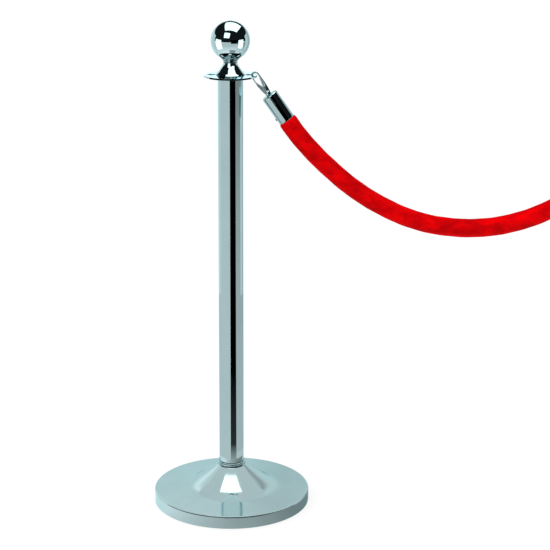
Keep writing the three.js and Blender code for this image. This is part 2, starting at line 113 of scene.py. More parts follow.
def face_outward(mesh, weld=0.0):
    """Turns every face outward, after joining points that are closer than weld."""
    b = bmesh.new()
    b.from_mesh(mesh)
    if weld:
        bmesh.ops.remove_doubles(b, verts=b.verts, dist=weld)
    bmesh.ops.recalc_face_normals(b, faces=b.faces)
    b.to_mesh(mesh)
    b.free()


def turned(name, profile, segments=192, closed=True):
    """A solid of revolution about Z. A closed profile is a ring; an open one has both ends on the axis."""
    mesh_points, rings = [], []
    for r, z in profile:
        if r == 0:
            rings.append([len(mesh_points)])
            mesh_points.append((0, 0, z))
        else:
            rings.append(list(range(len(mesh_points), len(mesh_points) + segments)))
            for k in range(segments):
                a = 2 * math.pi * k / segments
                mesh_points.append((r * math.cos(a), r * math.sin(a), z))
    faces = []
    pairs = list(zip(rings, rings[1:])) + ([(rings[-1], rings[0])] if closed else [])
    for low, high in pairs:
        for k in range(segments):
            n = (k + 1) % segments
            if len(low) == 1 and len(high) > 1:
                faces.append((low[0], high[n], high[k]))
            elif len(high) == 1 and len(low) > 1:
                faces.append((low[k], low[n], high[0]))
            elif len(low) > 1:
                faces.append((low[k], low[n], high[n], high[k]))
    mesh = bpy.data.meshes.new(name)
    mesh.from_pydata(mesh_points, [], faces)
    face_outward(mesh)
    smooth(mesh)
    return add_object(name, mesh)


def evaluated_mesh(obj, name):
    """The object's mesh with its modifiers applied."""
    bpy.context.view_layer.update()
    evaluated = obj.evaluated_get(bpy.context.evaluated_depsgraph_get())
    mesh = bpy.data.meshes.new_from_object(evaluated)
    mesh.name = name
    return mesh


def slab(name, outline, half, bevel, resolution=4):
    """A closed outline in the XZ plane, with thickness across Y and rounded edges."""
    curve = bpy.data.curves.new(name, "CURVE")
    curve.dimensions = "2D"
    curve.fill_mode = "BOTH"
    curve.extrude = half - bevel
    curve.bevel_depth = bevel
    curve.bevel_resolution = resolution
    curve.offset = -bevel
    spline = curve.splines.new("POLY")
    spline.points.add(len(outline) - 1)
    for point, (x, z) in zip(spline.points, outline):
        point.co = (x, z, 0, 1)
    spline.use_cyclic_u = True
    draft = add_object(name + "_draft", curve)
    mesh = evaluated_mesh(draft, name)
    bpy.data.objects.remove(draft)
    face_outward(mesh, weld=1e-6)
    mesh.transform(Matrix.Rotation(math.pi / 2, 4, "X"))
    smooth(mesh)
    return add_object(name, mesh)


def combined(name, base, tools, operation):
    """The base with the tools joined on (UNION) or cut away (DIFFERENCE), as one closed body."""
    for tool in tools:
        step = base.modifiers.new("step", "BOOLEAN")
        step.operation = operation
        step.solver = "EXACT"
        step.object = tool
    mesh = evaluated_mesh(base, name)
    for spent in (base, *tools):
        bpy.data.objects.remove(spent)
    smooth(mesh)
    return add_object(name, mesh)


def moved(obj, matrix):
    obj.data.transform(matrix)
    obj.data.update()
    return obj


def dressed(obj, material, node):
    """The piece in its material, standing for a CAD node."""
    obj.data.materials.clear()
    obj.data.materials.append(material)
    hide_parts(node)
    return obj


def finished(obj, body, material, node):
    """A dressed piece that rides on a body."""
    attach(obj, body)
    return dressed(obj, material, node)


# ------------------------------------------------------------------ materials

class Nodes:
    """Short calls for building one material's node tree."""

    def __init__(self, name):
        self.material = bpy.data.materials.new(name)
        self.material.use_nodes = True
        self.tree = self.material.node_tree
        self.shader = self.tree.nodes["Principled BSDF"]
        self.place = self.add("ShaderNodeTexCoord").outputs["Object"]

    def add(self, kind, **settings):
        node = self.tree.nodes.new(kind)
        for key, value in settings.items():
            setattr(node, key, value)
        return node

    def link(self, out, into):
        self.tree.links.new(out, into)

    def stretched(self, scale):
        """The piece's own coordinates, with a noise frequency for each axis."""
        mapping = self.add("ShaderNodeMapping")
        mapping.inputs["Scale"].default_value = scale
        self.link(self.place, mapping.inputs["Vector"])
        return mapping.outputs["Vector"]

    def noise(self, place, scale=1.0, detail=3.0, roughness=0.5):
        node = self.add("ShaderNodeTexNoise")
        node.inputs["Scale"].default_value = scale
        node.inputs["Detail"].default_value = detail
        node.inputs["Roughness"].default_value = roughness
        self.link(place, node.inputs["Vector"])
        return node.outputs["Fac"]

    def spread(self, value, low, high, to_low=0.0, to_high=1.0):
        """Maps low to high onto to_low to to_high."""
        node = self.add("ShaderNodeMapRange")
        limits = {"From Min": low, "From Max": high, "To Min": to_low, "To Max": to_high}
        for socket, number in limits.items():
            node.inputs[socket].default_value = number
        self.link(value, node.inputs["Value"])
        return node.outputs["Result"]

    def blend(self, factor, a, b):
        node = self.add("ShaderNodeMix", data_type="RGBA")
        for socket, value in (("A", a), ("B", b)):
            target = [s for s in node.inputs if s.name == socket and s.type == "RGBA"][0]
            if isinstance(value, tuple):
                target.default_value = (*value, 1)
            else:
                self.link(value, target)
        self.link(factor, node.inputs["Factor"])
        return [s for s in node.outputs if s.type == "RGBA"][0]

    def bump(self, height, distance, strength=1.0, under=None):
        node = self.add("ShaderNodeBump")
        node.inputs["Distance"].default_value = distance
        node.inputs["Strength"].default_value = strength
        self.link(height, node.inputs["Height"])
        if under is not None:
            self.link(under, node.inputs["Normal"])
        return node.outputs["Normal"]

    def set(self, **values):
        """Sets the shader's inputs, with an underscore for each space in a name. Gives the material."""
        for key, value in values.items():
            socket = self.shader.inputs[key.replace("_", " ")]
            if isinstance(value, bpy.types.NodeSocket):
                self.link(value, socket)
            elif isinstance(value, tuple):
                socket.default_value = (*value, 1)
            else:
                socket.default_value = value
        return self.material


CHROME_TINT = (0.46, 0.61, 0.63)
CHROME_DULL = (0.42, 0.57, 0.59)
CHROME_EDGE = (0.70, 0.90, 0.92)


def chrome(name, ripple, grain, sharpest=0.02, softest=0.07):
    """Polished chrome plate: faint smears in the gloss, a long shallow ripple and a polishing grain."""
    n = Nodes(name)
    smears = n.noise(n.place, scale=22, detail=4, roughness=0.6)
    gloss = n.spread(smears, 0.35, 0.75, sharpest, softest)
    colour = n.blend(n.spread(smears, 0.3, 0.8), CHROME_TINT, CHROME_DULL)
    rippled = n.bump(n.noise(n.place, scale=30, detail=1), ripple)
    grained = n.bump(n.noise(n.stretched(grain), detail=2), 0.000002, strength=0.6, under=rippled)
    return n.set(
        Base_Color=colour, Specular_Tint=CHROME_EDGE, Metallic=1.0, Roughness=gloss, Normal=grained)


def zinc_steel():
    """Plated steel: a blotchy grey with fine turning lines."""
    n = Nodes("zinc_steel")
    blotch = n.noise(n.place, scale=160, detail=5, roughness=0.65)
    colour = n.blend(blotch, (0.42, 0.44, 0.45), (0.62, 0.63, 0.62))
    gloss = n.spread(blotch, 0.3, 0.7, 0.26, 0.42)
    turned_lines = n.noise(n.stretched((90, 90, 4000)), detail=2)
    return n.set(Base_Color=colour, Metallic=1.0, Roughness=gloss, Normal=n.bump(turned_lines, 0.00001))


def cast_iron():
    """A sand casting under thin black paint."""
    n = Nodes("painted_casting")
    sand = n.noise(n.place, scale=900, detail=4, roughness=0.7)
    patches = n.noise(n.place, scale=18)
    colour = n.blend(patches, (0.022, 0.023, 0.025), (0.05, 0.05, 0.052))
    gloss = n.spread(patches, 0.3, 0.7, 0.5, 0.72)
    return n.set(Base_Color=colour, Roughness=gloss, Normal=n.bump(sand, 0.0004))


def rubber():
    """Black rubber with a little dust."""
    n = Nodes("rubber")
    dust = n.noise(n.place, scale=60, detail=5, roughness=0.7)
    colour = n.blend(n.spread(dust, 0.4, 0.8), (0.014, 0.014, 0.015), (0.045, 0.044, 0.042))
    gloss = n.spread(dust, 0.3, 0.8, 0.62, 0.85)
    grain = n.bump(n.noise(n.place, scale=1500, detail=2), 0.00008)
    return n.set(Base_Color=colour, Roughness=gloss, Normal=grain)


def cotton():
    """Undyed cord, with its strands along the rope."""
    n = Nodes("cotton_cord")
    strands = n.noise(n.stretched((500, 500, 120)), detail=4)
    colour = n.blend(strands, (0.50, 0.44, 0.33), (0.72, 0.67, 0.56))
    return n.set(Base_Color=colour, Roughness=0.95, Normal=n.bump(strands, 0.0006))


VELVET_RED = (0.90, 0.0002, 0.0016)
VELVET_DEEP = (0.51, 0.0001, 0.0014)
VELVET_SHEEN = (1.0, 0.012, 0.012)


def velvet():
    """Short pile: brushed patches, a fine nap, and a rim of sheen."""
    n = Nodes("red_velvet")
    brushed = n.noise(n.stretched((22, 60, 40)), detail=3, roughness=0.6)
    nap = n.noise(n.place, scale=2600, detail=3, roughness=0.7)
    colour = n.blend(n.spread(brushed, 0.36, 0.64), VELVET_DEEP, VELVET_RED)
    pile = n.bump(nap, 0.0004, strength=0.8, under=n.bump(brushed, 0.0012))
    return n.set(
        Base_Color=colour, Roughness=0.92, Normal=pile, Specular_IOR_Level=0.04,
        Sheen_Weight=1.0, Sheen_Roughness=0.36, Sheen_Tint=VELVET_SHEEN)


# ------------------------------------------------------------------ rope

# The rope's centreline between the two ferrules, as (x, z): it hangs under its own weight.
ROPE_ROUTE = [
    (0.1105, 0.8043), (0.1255, 0.7836), (0.143, 0.7616), (0.163, 0.7394), (0.186, 0.7161), (0.210, 0.6941),
    (0.233, 0.6749), (0.257, 0.6573), (0.281, 0.6418), (0.305, 0.6282), (0.329, 0.6165), (0.353, 0.6067),
    (0.377, 0.5988), (0.401, 0.5928), (0.426, 0.5885), (0.450, 0.5861), (0.475, 0.5853), (0.500, 0.5861),
    (0.524, 0.5885), (0.549, 0.5928), (0.573, 0.5988), (0.597, 0.6067), (0.621, 0.6165), (0.645, 0.6282),
    (0.669, 0.6418), (0.693, 0.6573), (0.717, 0.6749), (0.740, 0.6941), (0.764, 0.7161), (0.787, 0.7394),
    (0.807, 0.7616), (0.8245, 0.7836), (0.8395, 0.8043),
]
ROPE_R = 18.6 * MM
ROPE_BORE_R = 14.6 * MM
ROPE_SIDES = 96
ROPE_STEP = 3 * MM
CURVE_STEPS = 20
HEM_DEPTH, HEM_REACH = 3.4 * MM, 6 * MM
GATHERS, GATHER_HEIGHT, GATHER_REACH = 22, 0.28 * MM, 14 * MM
LUMP_HEIGHT, SMALL_LUMP_HEIGHT = 0.22 * MM, 0.14 * MM
SEAM_DEPTH, SEAM_WIDTH = 0.55 * MM, 1.3 * MM
STITCH_DEPTH, STITCH_WIDTH, STITCH_LENGTH = 0.12 * MM, 2.4 * MM, 6 * MM


def rope_line():
    """The route as points ROPE_STEP apart, on a centripetal curve through the given ones."""
    knots = [Vector((x, 0, z)) for x, z in ROPE_ROUTE]
    knots = [2 * knots[0] - knots[1], *knots, 2 * knots[-1] - knots[-2]]
    dense = []
    for a, b, c, d in zip(knots, knots[1:], knots[2:], knots[3:]):
        t = [0.0]
        for p, q in ((a, b), (b, c), (c, d)):
            t.append(t[-1] + (q - p).length ** 0.5)
        for k in range(CURVE_STEPS):
            u = t[1] + (t[2] - t[1]) * k / CURVE_STEPS
            a1 = a.lerp(b, u / t[1])
            a2 = b.lerp(c, (u - t[1]) / (t[2] - t[1]))
            a3 = c.lerp(d, (u - t[2]) / (t[3] - t[2]))
            b1 = a1.lerp(a2, u / t[2])
            b2 = a2.lerp(a3, (u - t[1]) / (t[3] - t[1]))
            dense.append(b1.lerp(b2, (u - t[1]) / (t[2] - t[1])))
    dense.append(knots[-2])
    line = np.array(dense)
    along = np.concatenate([[0], np.cumsum(np.linalg.norm(np.diff(line, axis=0), axis=1))])
    count = round(along[-1] / ROPE_STEP)
    at = np.linspace(0, along[-1], count + 1)
    spaced = np.stack([np.interp(at, along, line[:, k]) for k in range(3)], axis=1)
    return spaced, float(along[-1])


def rope_radius(along, length, angle):
    """The sleeve's radius: gathered hems at the ends, soft lumps in the padding and a seam below."""
    end = min(along, length - along)
    into = max(0.0, 1 - end / HEM_REACH)
    hem = HEM_DEPTH * (1 - math.sqrt(max(0.0, 1 - into * into)))
    fold = math.cos(GATHERS * angle + 1.7 * math.sin(3 * angle))
    gathers = GATHER_HEIGHT * math.exp(-end / GATHER_REACH) * fold
    # Waves of several lengths, which never line up, make the padding uneven.
    lumps = LUMP_HEIGHT * math.sin(71 * along + 1.3) * math.cos(angle + 23 * along)
    lumps += SMALL_LUMP_HEIGHT * math.sin(163 * along + 2 * angle)
    seam_off = abs(math.remainder(angle - math.pi, 2 * math.pi)) * ROPE_R
    seam = SEAM_DEPTH * math.exp(-((seam_off / SEAM_WIDTH) ** 2))
    stitch = math.cos(2 * math.pi * along / STITCH_LENGTH)
    stitches = STITCH_DEPTH * math.exp(-((seam_off / STITCH_WIDTH) ** 2)) * stitch
    return ROPE_R - hem + gathers + lumps - seam - stitches


def velvet_rope():
    """The sleeve as a closed tube: out along the surface and back along a coarser bore."""
    line, length = rope_line()
    last = len(line) - 1
    tangents = np.gradient(line, axis=0)
    tangents /= np.linalg.norm(tangents, axis=1)[:, None]
    surface = [(i, None) for i in range(last + 1)]
    bore = [(i, ROPE_BORE_R) for i in range(last - 7, 4, -4)]
    stations = [(0, ROPE_BORE_R), *surface, (last, ROPE_BORE_R), *bore]
    points, faces = [], []
    for i, fixed in stations:
        middle, along = Vector(line[i]), length * i / last
        up = Vector((-tangents[i][2], 0, tangents[i][0]))
        for k in range(ROPE_SIDES):
            angle = 2 * math.pi * k / ROPE_SIDES
            r = fixed or rope_radius(along, length, angle)
            points.append(middle + r * (math.cos(angle) * up + math.sin(angle) * Vector((0, 1, 0))))
    rings = len(stations)
    for i in range(rings):
        low, high = i * ROPE_SIDES, (i + 1) % rings * ROPE_SIDES
        for k in range(ROPE_SIDES):
            n = (k + 1) % ROPE_SIDES
            faces.append((low + k, low + n, high + n, high + k))
    mesh = bpy.data.meshes.new("velvet_rope")
    mesh.from_pydata(points, [], faces)
    face_outward(mesh)
    smooth(mesh, 60)
    return add_object("velvet_rope", mesh), line, length


# ------------------------------------------------------------------ post

# Sizes in millimetres, as in the CAD. GAP is the play between neighbouring pieces.
BASE_R, SKIRT_BOTTOM, RIM_TOP, RIM_FILLET, SHELL = 160, 1.0, 27.2, 3.6, 1.3
DOME_R, DOME_SLOPE = 154.5, 0.1
FLARE_SLOPE, FLARE_FOOT_R, FLARE_EASE, FLARE_R = 0.64, 87, 6, 28.5
THROAT_RISE, THROAT_EASE = 1.2, 7
TUBE_R, TUBE_WALL, TUBE_BOTTOM = 25, 1.5, 24
COLLAR_R, COLLAR_HEIGHT = 29.4, 7
CROWN_R, CROWN_TOP, CROWN_THICKNESS, CROWN_TAPER = 52.4, 893.2, 3.4, 0.8
EYES, EYE_R, EYE_CENTRE_R, STUD_BORE_R = 4, 8, 37, 5.3
BELL_R, NECK_R, NECK_Z = 28.3, 13.2, 917
BALL_R, BALL_Z, BALL_WALL, BALL_OPEN_R = 38.4, 960, 1.6, 9.3
NIB_R, NIB_HEIGHT = 1.8, 1.6
GAP = 0.3


def scaled(points):
    return [(r * MM, z * MM) for r, z in points]


def cover_height(r):
    """The cover's outer surface: a straight dome, a bend into the flare and a last rise at the throat."""
    bend = FLARE_EASE * math.log(1 + math.exp((FLARE_FOOT_R - r) / FLARE_EASE))
    throat = THROAT_RISE * math.exp((FLARE_R - r) / THROAT_EASE)
    return RIM_TOP + DOME_SLOPE * (BASE_R - RIM_FILLET - r) + FLARE_SLOPE * bend + throat


def curved(points, steps):
    """Points of a smooth curve through the given ones."""
    knots = [Vector(p) for p in points]
    knots = [2 * knots[0] - knots[1], *knots, 2 * knots[-1] - knots[-2]]
    result = []
    for a, b, c, d in zip(knots, knots[1:], knots[2:], knots[3:]):
        for k in range(steps):
            t = k / steps
            line, square = (c - a) * t, (2 * a - 5 * b + 4 * c - d) * t * t
            cube = (3 * b - a - 3 * c + d) * t ** 3
            result.append(tuple((2 * b + line + square + cube) / 2))
    result.append(tuple(knots[-2]))
    return result


def base_cover():
    """A spun shell: skirt, rounded rim, shallow dome and flare, with a lip round the tube."""
    rings = 70
    rim = arc(BASE_R - RIM_FILLET, RIM_TOP - RIM_FILLET, RIM_FILLET, 0, 84, 14)
    radii = [DOME_R - (DOME_R - FLARE_R) * i / rings for i in range(rings + 1)]
    outer = [(r, cover_height(r)) for r in radii]
    throat, bore_r = cover_height(FLARE_R), TUBE_R + GAP
    lip = [(FLARE_R - 1.2, throat + 0.5), (bore_r, throat + 0.5), (bore_r, throat - SHELL)]
    inner = [(r - 0.5, cover_height(r) - SHELL * 1.15) for r in reversed(radii[::2])]
    skirt = [(BASE_R - SHELL, 20), (BASE_R - SHELL, SKIRT_BOTTOM + 0.3), (BASE_R - 0.9, SKIRT_BOTTOM)]
    edge = [(BASE_R - 0.4, SKIRT_BOTTOM), (BASE_R, SKIRT_BOTTOM + 0.4), (BASE_R, 3), (BASE_R, 20)]
    return turned("base_shell", scaled([*edge, *rim, *outer, *lip, *inner, *skirt]), 320)


def foot_collar():
    """A spool: a thin bead above and below a plain band."""
    bottom = cover_height(FLARE_R) + GAP
    top = bottom + COLLAR_HEIGHT
    bead, band_r = 1.0, COLLAR_R - 0.7
    profile = [
        (TUBE_R + GAP, bottom),
        *arc(COLLAR_R - bead, bottom + bead, bead, -90, 75, 12),
        (band_r, bottom + 2 * bead + 0.3),
        (band_r, bottom + 2 * bead + 0.6),
        (band_r, top - 2 * bead - 0.6),
        (band_r, top - 2 * bead - 0.3),
        *arc(COLLAR_R - bead, top - bead, bead, -75, 90, 12),
        (TUBE_R + GAP, top),
    ]
    return turned("foot_ring", scaled(profile))


def post_tube():
    """A plain tube with its edges broken, in short rings so that no face is long and thin."""
    ring_step, edge = 40, 0.3
    top = CROWN_TOP - CROWN_THICKNESS - GAP
    inner = TUBE_R - TUBE_WALL
    heights = [TUBE_BOTTOM + edge, TUBE_BOTTOM + 2, *range(60, 880, ring_step), top - 1.5, top - edge]
    outside = [(TUBE_R - edge, TUBE_BOTTOM), *[(TUBE_R, z) for z in heights], (TUBE_R - edge, top)]
    return turned("post_column", scaled([*outside, (inner, top), (inner, TUBE_BOTTOM)]), 256)


def crown_plate():
    """A plate whose rim leans in a little, with four eyes rounded at both edges."""
    bottom, top, edge, lip, ring_r = CROWN_TOP - CROWN_THICKNESS, CROWN_TOP, 0.25, 0.5, 30
    rim = arc(CROWN_R - edge, bottom + edge, edge, -90, 12, 7)
    rim += arc(CROWN_R - CROWN_TAPER - edge, top - edge, edge, 12, 90, 7)
    flat = [(CROWN_R - 1.5, top), (ring_r, top), (STUD_BORE_R, top)]
    flat += [(STUD_BORE_R, bottom), (ring_r, bottom), (CROWN_R - 1.2, bottom)]
    plate = turned("crown_draft", scaled([*rim, *flat]), 256)
    spool = [(0, bottom - 1), (EYE_R + lip, bottom - 1), *arc(EYE_R + lip, bottom + lip, lip, -90, -180, 6)]
    spool += [*arc(EYE_R + lip, top - lip, lip, 180, 90, 6), (EYE_R + lip, top + 1), (0, top + 1)]
    eyes = []
    for k in range(EYES):
        place = Matrix.Rotation(math.tau * k / EYES, 4, "Z") @ Matrix.Translation((EYE_CENTRE_R * MM, 0, 0))
        eyes.append(moved(turned(f"eye{k}", scaled(spool), 64, closed=False), place))
    return combined("crown_disc", plate, eyes, "DIFFERENCE")


def bell():
    """A thin shell whose flank sweeps up from a wide foot to the neck."""
    foot = CROWN_TOP + GAP
    edge = [(BELL_R - 0.3, foot), (BELL_R, foot + 0.3)]
    sweep = [(BELL_R, foot + 0.8), (25.5, 897.4), (21.6, 902.6), (18, 907.6), (15.2, 912.2), (NECK_R, NECK_Z)]
    inside = [(STUD_BORE_R, NECK_Z), (STUD_BORE_R, NECK_Z - 4)]
    inside += [(12.4, 911), (17.4, 904.6), (22.4, 898.4), (26.2, foot)]
    return turned("bell_shell", scaled([*edge, *curved(sweep, 8), *inside]))


def ball_cup():
    """A moulded collar: a bead at the foot, a hollow neck, a second bead and a flared lip."""
    bottom, bead, lip = NECK_Z + GAP, 1.0, 0.75
    seat_r = BALL_R + GAP
    seat_radii = (18.3, 17, 15, 13, 11, 9, 7, STUD_BORE_R)
    profile = [
        (STUD_BORE_R, bottom),
        (NECK_R - 0.8, bottom),
        *arc(NECK_R + 0.3, bottom + bead, bead, -90, 70, 10),
        *curved([(13.1, bottom + 2.5), (13.2, bottom + 3.3), (13.9, bottom + 4.3)], 5),
        *arc(15.0, bottom + 5.2, bead, -65, 60, 8),
        *curved([(15.6, bottom + 6.6), (16.3, bottom + 7.2), (17.3, bottom + 7.5)], 4),
        *arc(17.7, bottom + 8.2, lip, -70, 80, 8),
        *[(r, BALL_Z - math.sqrt(seat_r ** 2 - r ** 2)) for r in seat_radii],
    ]
    return turned("cup_collar", scaled(profile))


def finial_ball():
    """A hollow ball, open below for its boss, with a nib on top."""
    inner_r = BALL_R - BALL_WALL
    nib_angle = math.degrees(math.acos((NIB_R + 0.5) / BALL_R))
    open_angle = -math.degrees(math.acos(BALL_OPEN_R / BALL_R))
    inner_angle = -math.degrees(math.acos(BALL_OPEN_R / inner_r))
    crest = BALL_Z + BALL_R
    profile = [
        (0, crest + NIB_HEIGHT), (0.7, crest + 1.45), (1.2, crest + 1.05),
        (1.5, crest + 0.5), (NIB_R, crest + 0.1),
        *arc(0, BALL_Z, BALL_R, nib_angle, open_angle, 120),
        *arc(0, BALL_Z, inner_r, inner_angle, 89, 40),
        (0, BALL_Z + inner_r),
    ]
    return turned("finial", scaled(profile), 256, closed=False)


# ------------------------------------------------------------------ rope fittings

# Each ferrule and hook is made upright, its axis on Z, and then moved to its end of the rope.
CAP_PLACE = Vector((76.4 * MM, 0, 852.7 * MM))
FITTING_TILT = math.radians(-35.2)
SPAN = 950 * MM
NEAR = Matrix.Translation(CAP_PLACE) @ Matrix.Rotation(FITTING_TILT, 4, "Y")
FAR = Matrix.Translation((SPAN, 0, 0)) @ Matrix.Rotation(math.pi, 4, "Z") @ NEAR
FERRULE_R, FERRULE_WALL, FERRULE_TOP, FERRULE_BOTTOM = 16.6, 1.4, 2, -59.2
FERRULE_EDGE, FERRULE_FACE = 3.2, 2.6
PIVOT_BORE_R = 2.9
SCREW_DROP, SCREW_HEAD_R, SCREW_R, SCREW_SLOT = 48, 2.7, 2.0, 0.8
HOOK_HALF, HOOK_NECK_R, HOOK_FOOT = 2.5, 5.4, FERRULE_TOP + 0.5
BOW_X, BOW_Z, BOW_INNER_R, BOW_HALF_WIDTH, BOW_HEIGHT = -0.7, 47, 5.7, 8.2, 9.2
GATE_X, GATE_Z, GATE_EAR_R, GATE_TOP, GATE_OUTER_X, GATE_INNER_X = -5.7, 21.3, 2.8, 41.2, -8.9, -6.5
CHEEK_INNER_Y, CHEEK_OUTER_Y = 2.8, 3.4
GATE_PIN_R, RIVET_HEAD_R = 1.2, 2.1
SPRING_ROOT, SPRING_BEND, SPRING_TIP = (-2.6, 24.0), (-4.0, 27.0), (-5.95, 34.0)
SPRING_HALF_WIDTH, SPRING_HALF_THICKNESS = 1.4, 0.25


def ferrule(prefix):
    """A deep cup with a crowned face and a rounded shoulder, open at the rope's side."""
    inner, mouth, face = FERRULE_R - FERRULE_WALL, FERRULE_BOTTOM, FERRULE_TOP - FERRULE_FACE
    profile = [
        (PIVOT_BORE_R, FERRULE_TOP), (4.5, FERRULE_TOP - 0.04),
        (8, FERRULE_TOP - 0.2), (11, FERRULE_TOP - 0.42),
        *arc(FERRULE_R - FERRULE_EDGE, FERRULE_TOP - FERRULE_EDGE - 0.7, FERRULE_EDGE, 80, 0, 16),
        (FERRULE_R, -4), (FERRULE_R, -30), (FERRULE_R, mouth + 2), (FERRULE_R, mouth + 0.5),
        (FERRULE_R - 0.15, mouth + 0.15), (FERRULE_R - 0.5, mouth),
        (inner + 0.3, mouth), (inner, mouth + 0.3),
        (inner, face - 1.5), (inner - 0.5, face - 0.5), (inner - 1.5, face), (PIVOT_BORE_R, face),
    ]
    return turned(prefix + "_cap", scaled(profile))


def set_screw(prefix):
    """A slotted screw with a low domed head, across the ferrule's wall."""
    base, shank_r = FERRULE_R + 0.15, 1.6
    profile = [
        (0, base - 2.5), (shank_r, base - 2.5), (SCREW_R, base - 2.1), (SCREW_R, base),
        (SCREW_HEAD_R, base), (SCREW_HEAD_R, base + 0.35), (2.5, base + 0.95), (2.0, base + 1.45),
        (1.2, base + 1.8), (0, base + 1.95),
    ]
    screw = turned(prefix + "_screw_draft", scaled(profile), 48, closed=False)
    slot_outline = [(-4, base + 1.0), (4, base + 1.0), (4, base + 4), (-4, base + 4)]
    slot = slab(prefix + "_slot", scaled(slot_outline), SCREW_SLOT / 2 * MM, 0)
    screw = combined(prefix + "_screw", screw, [slot], "DIFFERENCE")
    place = Matrix.Translation((0, 0, -SCREW_DROP * MM)) @ Matrix.Rotation(-math.pi / 2, 4, "Y")
    return moved(screw, place)


def bezier(a, b, c, d, steps):
    """Points of a Bezier curve, without its first one."""
    a, b, c, d = (Vector(p) for p in (a, b, c, d))
    points = []
    for k in range(1, steps + 1):
        t = k / steps
        u = 1 - t
        points.append(tuple(u ** 3 * a + 3 * u * u * t * b + 3 * u * t * t * c + t ** 3 * d))
    return points


def hook_outline():
    """Boss, shoulder, spine, bow and nose in one flat outline, as the CAD hook has it."""
    right, left, bow_steps = BOW_X + BOW_HALF_WIDTH, BOW_X - BOW_INNER_R, 28
    points = [(-HOOK_NECK_R, HOOK_FOOT), (HOOK_NECK_R, HOOK_FOOT), (HOOK_NECK_R + 0.4, 6)]
    points += bezier(points[-1], (6.4, 9), (7.5, 17), (7.7, 26), 14)
    points += bezier(points[-1], (7.9, 33), (right, 40), (right, BOW_Z), 12)
    for k in range(1, bow_steps + 1):
        a = math.pi * k / bow_steps
        points.append((BOW_X + BOW_HALF_WIDTH * math.cos(a), BOW_Z + BOW_HEIGHT * math.sin(a)))
    points += [(GATE_OUTER_X, GATE_TOP + GAP), (left, GATE_TOP + GAP), (left, BOW_Z)]
    points += arc(BOW_X, BOW_Z, BOW_INNER_R, 180, 0, 24)[1:]
    points += bezier(points[-1], (BOW_X + BOW_INNER_R, 43), (2.6, 37), (1.2, 30), 14)
    points += bezier(points[-1], (0.6, 27), (-0.6, 24), (-2.7, 22.4), 10)
    points += arc(GATE_X, GATE_Z, GATE_EAR_R, 24, 180, 16)
    points += bezier(points[-1], (-8.4, 17), (-7.2, 11), (-HOOK_NECK_R - 0.4, 6), 10)
    return points


def hook_body(prefix):
    """The flat hook with rounded edges, joined to a round boss that stands on the ferrule."""
    blade = slab(prefix + "_blade", scaled(hook_outline()), HOOK_HALF * MM, 0.95 * MM)
    neck = [
        (0, HOOK_FOOT), (HOOK_NECK_R - 0.4, HOOK_FOOT), (HOOK_NECK_R, HOOK_FOOT + 0.4),
        (HOOK_NECK_R + 0.3, 6), (5.2, 7.6), (4.2, 9.4), (2.2, 10.2), (0, 10.5),
    ]
    boss = turned(prefix + "_boss", scaled(neck), 48, closed=False)
    return combined(prefix + "_snap_hook", blade, [boss], "UNION")


def gate(prefix):
    """A leaf that closes the mouth, with two cheeks round the hook's ear."""
    leaf_bottom, nose = GATE_Z + GATE_EAR_R + 2 * GAP, 0.8
    leaf_outline = eased([
        (GATE_OUTER_X, leaf_bottom), (GATE_INNER_X, leaf_bottom), (GATE_INNER_X, GATE_TOP),
        (GATE_OUTER_X + nose, GATE_TOP), (GATE_OUTER_X, GATE_TOP - nose)], 0.4)
    leaf = slab(prefix + "_leaf", scaled(leaf_outline), CHEEK_OUTER_Y * MM, 0.45 * MM, 3)
    cheek_outline = [
        *arc(GATE_X, GATE_Z, GATE_EAR_R + 0.4, 180, 380, 24),
        (GATE_INNER_X + 0.8, 29), (GATE_INNER_X - 0.2, 32), (GATE_OUTER_X + 0.3, 32),
    ]
    cheek_half = (CHEEK_OUTER_Y - CHEEK_INNER_Y) * MM / 2
    cheeks = []
    for side in (-1, 1):
        cheek = slab(f"{prefix}_cheek{side}", scaled(cheek_outline), cheek_half, 0.15 * MM, 2)
        place = Matrix.Translation((0, side * (CHEEK_INNER_Y + CHEEK_OUTER_Y) * MM / 2, 0))
        cheeks.append(moved(cheek, place))
    return combined(prefix + "_gate_leaf", leaf, cheeks, "UNION")


def gate_rivet(prefix):
    """A pin across the hook's ear with a low head on each cheek."""
    under = CHEEK_OUTER_Y + 0.1
    half = [
        (GATE_PIN_R, under), (RIVET_HEAD_R, under), (RIVET_HEAD_R, under + 0.2), (1.8, under + 0.6),
        (1.2, under + 0.95), (0, under + 1.1),
    ]
    profile = [(r, -z) for r, z in reversed(half)] + half
    rivet = turned(prefix + "_rivet", scaled(profile), 48, closed=False)
    turn = Matrix.Translation((GATE_X * MM, 0, GATE_Z * MM)) @ Matrix.Rotation(math.pi / 2, 4, "X")
    return moved(rivet, turn)


def gate_spring(prefix):
    """A leaf spring that bends from the hook's ear to the gate's back."""
    steps = 24
    root, bend, tip = Vector(SPRING_ROOT), Vector(SPRING_BEND), Vector(SPRING_TIP)
    middle = []
    for k in range(steps + 1):
        t = k / steps
        middle.append((1 - t) ** 2 * root + 2 * t * (1 - t) * bend + t * t * tip)
    sides = []
    for off in (SPRING_HALF_THICKNESS, -SPRING_HALF_THICKNESS):
        side = []
        for i, p in enumerate(middle):
            along = (middle[min(i + 1, steps)] - middle[max(i - 1, 0)]).normalized()
            side.append((p.x - off * along.y, p.y + off * along.x))
        sides.append(side)
    outline = sides[0] + sides[1][::-1]
    return slab(prefix + "_leaf_spring", scaled(outline), SPRING_HALF_WIDTH * MM, 0.1 * MM, 1)


# ------------------------------------------------------------------ assembly

